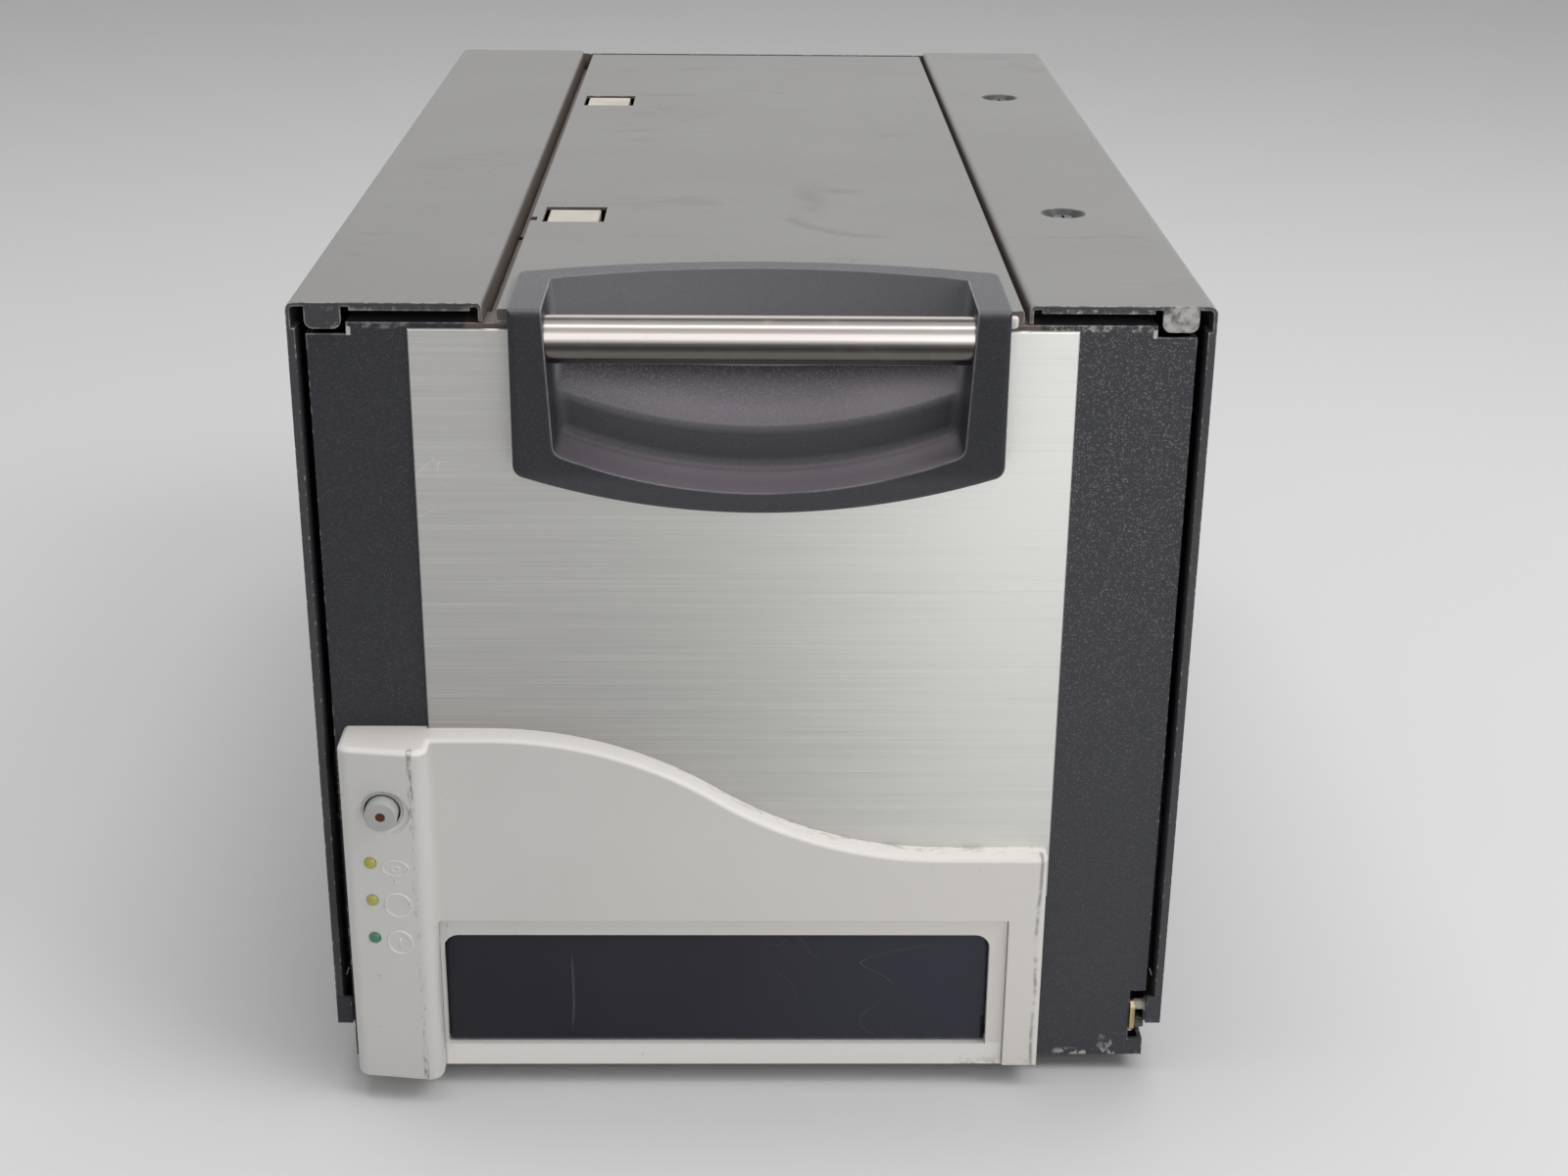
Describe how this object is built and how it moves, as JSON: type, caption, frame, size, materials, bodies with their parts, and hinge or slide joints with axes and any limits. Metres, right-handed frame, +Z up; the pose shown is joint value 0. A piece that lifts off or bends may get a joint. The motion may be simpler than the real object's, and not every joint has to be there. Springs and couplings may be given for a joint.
{
  "type": "disc label printer",
  "caption": "Desktop disc label printer: steel housing with a pull-out printing unit on rails, a handle bar, and a disc tray behind a drop-down door.",
  "frame": {"origin": "on the table, under the middle of the printer's bounding box", "axes": "+X to the right seen from the front, +Y to the back, +Z up"},
  "size_m": [0.276, 0.4798, 0.2684],
  "materials": {
    "housing_paint": "fine hammertone powder coat",
    "panel_paint": "dark sparkle powder coat",
    "zinc_steel": "zinc-plated sheet",
    "brushed_aluminium": "long horizontal brush marks",
    "stainless_bar": "turned and polished",
    "dark_moulding": "metallic-fleck moulded plastic",
    "white_moulding": "fine-grained off-white plastic",
    "door_plastic": "satin near-black plastic",
    "button_plastic": "smooth light grey",
    "amber_lens": "clear tinted",
    "yellow_lens": "clear tinted",
    "green_lens": "clear tinted",
    "cream_moulding": "plain moulded",
    "black_plastic": "plain moulded",
    "foot_rubber": "dull",
    "rail_steel": "bright zinc",
    "screw_steel": "plated",
    "bush_plastic": "natural acetal",
    "motor_black": "black enamel",
    "board_green": "solder resist",
    "spool_grey": "moulded",
    "film_clear": "wound clear film",
    "ribbon_ink": "wound dye ribbon",
    "roller_silicone": "heat-resistant silicone",
    "roller_black": "ground rubber",
    "head_aluminium": "extruded",
    "gear_white": "acetal",
    "latch_brass": "plated spring brass",
    "socket_black": "plain moulded"
  },
  "bodies": {
    "root": {"base_pan": "panel_paint", "left_cover": "housing_paint", "right_cover": "housing_paint", "rear_panel": "housing_paint", "rubber_feet": "foot_rubber", "left_outer_rail": "rail_steel", "right_outer_rail": "rail_steel", "cover_screws": "screw_steel", "power_supply": "zinc_steel", "power_inlet": "socket_black", "switch_body": "socket_black", "fan_frame": "black_plastic", "data_ports": "zinc_steel", "control_board": "board_green"},
    "power_rocker": {"power_rocker": "black_plastic"},
    "fan_rotor": {"fan_rotor": "black_plastic"},
    "left_slide": {"left_mid_rail": "rail_steel"},
    "right_slide": {"right_mid_rail": "rail_steel"},
    "print_unit": {"front_panel": "panel_paint", "aluminium_fascia": "brushed_aluminium", "handle_bezel": "dark_moulding", "handle_bar": "stainless_bar", "lower_bezel": "white_moulding", "tray_frame": "white_moulding", "button_ring": "button_plastic", "status_lenses": "yellow_lens", "ready_lens": "green_lens", "top_panel": "housing_paint", "window_tabs": "cream_moulding", "left_side_plate": "zinc_steel", "right_side_plate": "zinc_steel", "left_inner_rail": "rail_steel", "right_inner_rail": "rail_steel", "cross_braces": "zinc_steel", "tie_rods": "stainless_bar", "shaft_bushes": "bush_plastic", "left_tray_guide": "black_plastic", "right_tray_guide": "black_plastic", "tray_motor": "zinc_steel", "drive_motors": "motor_black", "heater_shroud": "head_aluminium", "button_board": "board_green"},
    "tray": {"disc_tray": "black_plastic", "tray_hub": "gear_white"},
    "door": {"tray_door": "door_plastic"},
    "pinion": {"tray_pinion": "gear_white"},
    "button": {"operator_button": "button_plastic", "button_lens": "amber_lens"},
    "film_supply": {"film_supply_spool": "spool_grey", "film_supply_roll": "film_clear"},
    "film_takeup": {"film_takeup_spool": "spool_grey"},
    "ribbon_supply": {"ribbon_supply_spool": "spool_grey", "ribbon_supply_roll": "ribbon_ink"},
    "ribbon_takeup": {"ribbon_takeup_spool": "spool_grey"},
    "transfer_roller": {"transfer_roller": "roller_silicone"},
    "platen_roller": {"platen_roller": "roller_black"},
    "head_lever": {"head_arm": "zinc_steel", "print_head": "head_aluminium"},
    "latch_lever": {"latch_lever": "latch_brass"}
  },
  "joints": [
    {"name": "unit_slide", "type": "slide", "parent": "root", "child": "print_unit", "axis": [0, -1, 0], "range_m": [0, 0.28]},
    {"name": "left_rail_slide", "type": "slide", "parent": "root", "child": "left_slide", "axis": [0, -1, 0], "range_m": [0, 0.14]},
    {"name": "right_rail_slide", "type": "slide", "parent": "root", "child": "right_slide", "axis": [0, -1, 0], "range_m": [0, 0.14]},
    {"name": "power_rocker_tilt", "type": "hinge", "parent": "root", "child": "power_rocker", "pos_m": [-0.082, 0.2327, 0.078], "axis": [0, 0, 1], "range_deg": [0, 10]},
    {"name": "fan_spin", "type": "hinge", "parent": "root", "child": "fan_rotor", "pos_m": [0.058, 0.224, 0.192], "axis": [0, 1, 0], "continuous": true},
    {"name": "tray_slide", "type": "slide", "parent": "print_unit", "child": "tray", "axis": [0, -1, 0], "range_m": [0, 0.212]},
    {"name": "door_hinge", "type": "hinge", "parent": "print_unit", "child": "door", "pos_m": [-0.0109, -0.2218, 0.019], "axis": [1, 0, 0], "range_deg": [0, 90.01]},
    {"name": "pinion_spin", "type": "hinge", "parent": "print_unit", "child": "pinion", "pos_m": [0.0612, -0.1263, 0.03249], "axis": [1, 0, 0], "range_deg": [0, 1080.21]},
    {"name": "button_press", "type": "slide", "parent": "print_unit", "child": "button", "axis": [0, 1, 0], "range_m": [0, 0.0015], "stiffness_N_per_m": 400, "springref_m": -0.0015},
    {"name": "film_supply_spin", "type": "hinge", "parent": "print_unit", "child": "film_supply", "pos_m": [0, -0.1173, 0.192], "axis": [1, 0, 0], "continuous": true},
    {"name": "film_takeup_spin", "type": "hinge", "parent": "print_unit", "child": "film_takeup", "pos_m": [0, -0.0393, 0.205], "axis": [1, 0, 0], "continuous": true},
    {"name": "ribbon_supply_spin", "type": "hinge", "parent": "print_unit", "child": "ribbon_supply", "pos_m": [0, 0.0327, 0.205], "axis": [1, 0, 0], "continuous": true},
    {"name": "ribbon_takeup_spin", "type": "hinge", "parent": "print_unit", "child": "ribbon_takeup", "pos_m": [0, 0.1277, 0.205], "axis": [1, 0, 0], "continuous": true},
    {"name": "transfer_roller_spin", "type": "hinge", "parent": "print_unit", "child": "transfer_roller", "pos_m": [0, -0.1423, 0.084], "axis": [1, 0, 0], "continuous": true},
    {"name": "platen_roller_spin", "type": "hinge", "parent": "print_unit", "child": "platen_roller", "pos_m": [0, 0.0447, 0.14], "axis": [1, 0, 0], "continuous": true},
    {"name": "head_lift", "type": "hinge", "parent": "print_unit", "child": "head_lever", "pos_m": [-0.01, 0.1047, 0.165], "axis": [-1, 0, 0], "range_deg": [0, 8]},
    {"name": "latch_pivot", "type": "hinge", "parent": "print_unit", "child": "latch_lever", "pos_m": [0.128, -0.1933, 0.022], "axis": [1, 0, 0], "range_deg": [0, 8]}
  ],
  "couplings": [
    {"joint": "left_rail_slide", "follows": "unit_slide", "ratio": 0.5},
    {"joint": "right_rail_slide", "follows": "unit_slide", "ratio": 0.5},
    {"joint": "door_hinge", "follows": "tray_slide", "rad_per_m": 7.4094},
    {"joint": "pinion_spin", "follows": "tray_slide", "rad_per_m": 88.889}
  ]
}
